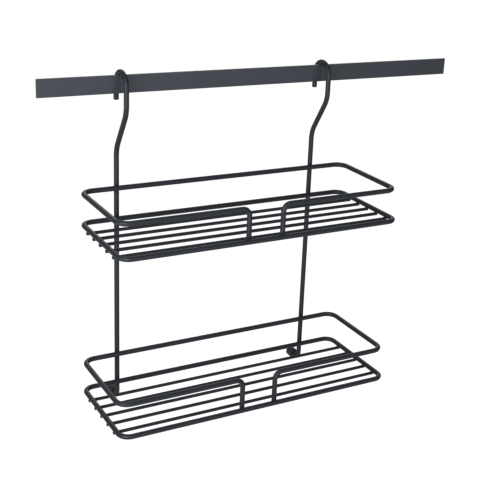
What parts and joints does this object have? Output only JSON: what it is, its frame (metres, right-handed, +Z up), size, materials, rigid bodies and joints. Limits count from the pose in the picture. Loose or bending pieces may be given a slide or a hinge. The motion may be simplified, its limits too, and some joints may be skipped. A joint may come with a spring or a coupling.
{
  "type": "kitchen rail with a hanging wire spice rack",
  "caption": "Flat wall rail on concealed posts with a tiered wire spice rack hung over it by hooked side wires; slatted floors, low rims with a front gap, rubber wall buffers.",
  "frame": {"origin": "on the wall's face, midway between the bores of the two rail posts", "axes": "+X along the rail to the right as seen from the room, +Y into the wall, +Z up"},
  "size_m": [0.482, 0.1414, 0.3687],
  "materials": {
    "rail_coat": "matt anthracite powder coat on flat steel",
    "wire_coat": "satin black powder coat on round steel wire",
    "screw_steel": "blackened steel",
    "buffer_rubber": "matt black rubber"
  },
  "bodies": {
    "root": {"rail_bar": "rail_coat", "rail_post_left": "rail_coat", "grub_screw_left": "screw_steel", "hanger_left": "wire_coat", "wall_buffer_left": "buffer_rubber", "rail_post_right": "rail_coat", "grub_screw_right": "screw_steel", "hanger_right": "wire_coat", "wall_buffer_right": "buffer_rubber", "lower_base_frame": "wire_coat", "lower_rim": "wire_coat", "lower_slat_1": "wire_coat", "lower_slat_2": "wire_coat", "lower_slat_3": "wire_coat", "lower_slat_4": "wire_coat", "lower_slat_5": "wire_coat", "upper_base_frame": "wire_coat", "upper_rim": "wire_coat", "upper_slat_1": "wire_coat", "upper_slat_2": "wire_coat", "upper_slat_3": "wire_coat", "upper_slat_4": "wire_coat", "upper_slat_5": "wire_coat"}
  },
  "joints": []
}
